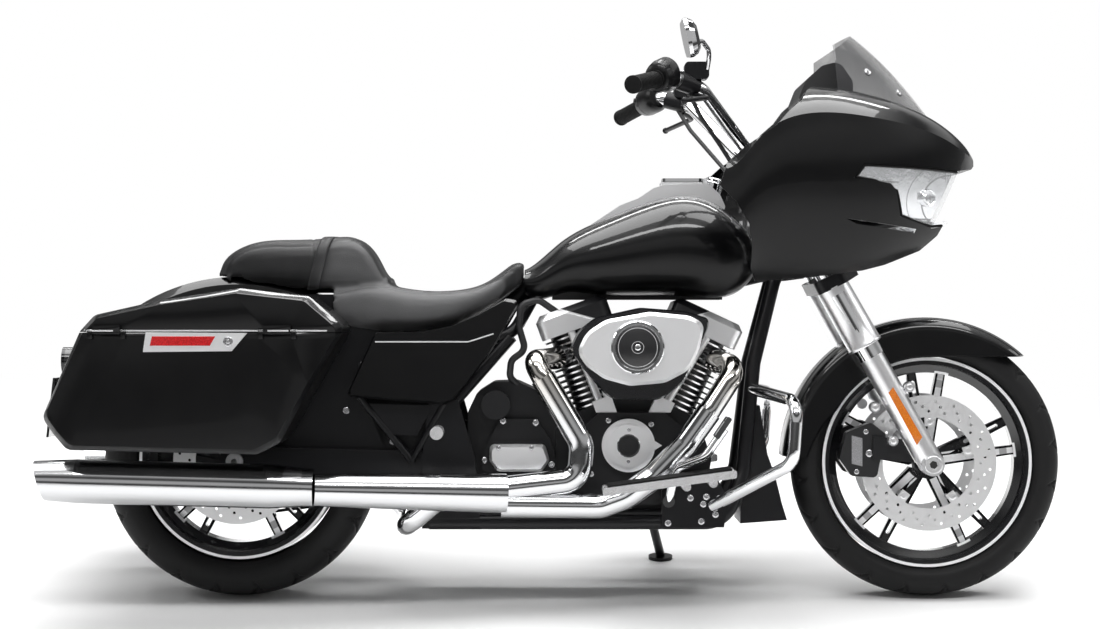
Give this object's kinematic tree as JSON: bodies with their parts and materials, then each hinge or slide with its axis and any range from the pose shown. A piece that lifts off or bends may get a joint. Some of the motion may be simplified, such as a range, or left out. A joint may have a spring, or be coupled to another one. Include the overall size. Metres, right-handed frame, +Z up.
{
  "type": "touring cruiser motorcycle",
  "caption": "Touring motorcycle with a frame-mounted fairing, V-twin engine, hard saddlebags with hinged lids, cast wheels and a side stand it leans on.",
  "frame": {"origin": "centre of the bounding box at the ground, with the machine leaning on its side stand", "axes": "+X towards the front wheel, +Y to the left side, +Z up"},
  "size_m": [2.3963, 1.069, 1.3799],
  "materials": {
    "belt_rubber": "matte",
    "caliper_black": "gloss",
    "case_black": "fine wrinkle",
    "chrome": "polished",
    "cylinder_black": "satin with machined fin edges",
    "disc_steel": "ground",
    "frame_black": "satin",
    "gloss_black": "gloss",
    "grip_rubber": "matte ribbed",
    "lamp_clear": "clear",
    "lamp_red": "clear red",
    "paint_black": "deep gloss",
    "plastic_black": "matte",
    "seat_vinyl": "grained, matte",
    "smoked_screen": "dark smoke",
    "steel": "satin",
    "tyre": "matte",
    "wheel_black": "gloss with machined faces"
  },
  "bodies": {
    "chassis": {"air_cleaner": "gloss_black", "air_cleaner_cover": "chrome", "battery_box": "plastic_black", "crossover_pipe": "chrome", "cylinder_barrels": "cylinder_black", "drive_belt": "belt_rubber", "engine_case": "case_black", "engine_covers": "chrome", "engine_guard": "chrome", "engine_hoses": "plastic_black", "exhaust_headers": "chrome", "fairing_bracket": "frame_black", "fairing_outer": "paint_black", "footboards": "steel", "frame": "frame_black", "fuel_tank": "paint_black", "headlamps": "lamp_clear", "inner_fairing": "plastic_black", "muffler_left": "chrome", "muffler_right": "chrome", "oil_cooler": "plastic_black", "pedals": "chrome", "primary_cover": "chrome", "pushrod_tubes": "chrome", "rear_axle": "steel", "rear_fender": "paint_black", "rear_shock": "steel", "reflector_plates": "chrome", "rocker_covers": "chrome", "saddlebag_left": "paint_black", "saddlebag_right": "paint_black", "seat": "seat_vinyl", "side_covers": "paint_black", "swingarm": "frame_black", "tail_lamps": "lamp_red", "tank_console": "chrome", "windscreen": "smoked_screen"},
    "front_end": {"triple_clamps": "frame_black", "fork_tubes": "chrome", "fork_sliders": "steel", "front_axle": "steel", "front_fender": "paint_black", "calipers": "caliper_black", "handlebar": "chrome", "grips": "grip_rubber", "controls": "plastic_black", "mirrors": "chrome", "cables": "plastic_black"},
    "front_wheel": {"front_tyre": "tyre", "front_rim": "wheel_black", "front_discs": "disc_steel"},
    "rear_wheel": {"rear_tyre": "tyre", "rear_rim": "wheel_black", "rear_disc": "disc_steel", "rear_pulley": "wheel_black"},
    "side_stand": {"side_stand": "frame_black"},
    "lid_left": {"lid_left": "paint_black"},
    "lid_right": {"lid_right": "paint_black"},
    "fuel_door": {"fuel_door": "chrome"}
  },
  "joints": [
    {"name": "steering", "type": "hinge", "parent": "chassis", "child": "front_end", "pos_m": [0.6324, -0.03417, 0.84501], "axis": [-0.4384, 0.1406, 0.8877], "range_deg": [-30, 30]},
    {"name": "front_wheel_spin", "type": "hinge", "parent": "front_end", "child": "front_wheel", "pos_m": [0.87885, -0.11779, 0.31704], "axis": [0, 0.9877, -0.1564], "continuous": true},
    {"name": "rear_wheel_spin", "type": "hinge", "parent": "chassis", "child": "rear_wheel", "pos_m": [-0.74615, -0.11649, 0.32524], "axis": [0, 0.9877, -0.1564], "continuous": true},
    {"name": "stand_fold", "type": "hinge", "parent": "chassis", "child": "side_stand", "pos_m": [0.23385, 0.05733, 0.14422], "axis": [0.4177, 0.6308, 0.6539], "range_deg": [0, 107]},
    {"name": "lid_left_hinge", "type": "hinge", "parent": "chassis", "child": "lid_left", "pos_m": [-0.80465, 0.36038, 0.55537], "axis": [-1, 0, 0], "range_deg": [0, 80]},
    {"name": "lid_right_hinge", "type": "hinge", "parent": "chassis", "child": "lid_right", "pos_m": [-0.80465, -0.49891, 0.69147], "axis": [1, 0, 0], "range_deg": [0, 80]},
    {"name": "fuel_door_hinge", "type": "hinge", "parent": "chassis", "child": "fuel_door", "pos_m": [0.35535, -0.01318, 0.97751], "axis": [0, 0.9877, -0.1564], "range_deg": [0, 90]}
  ]
}
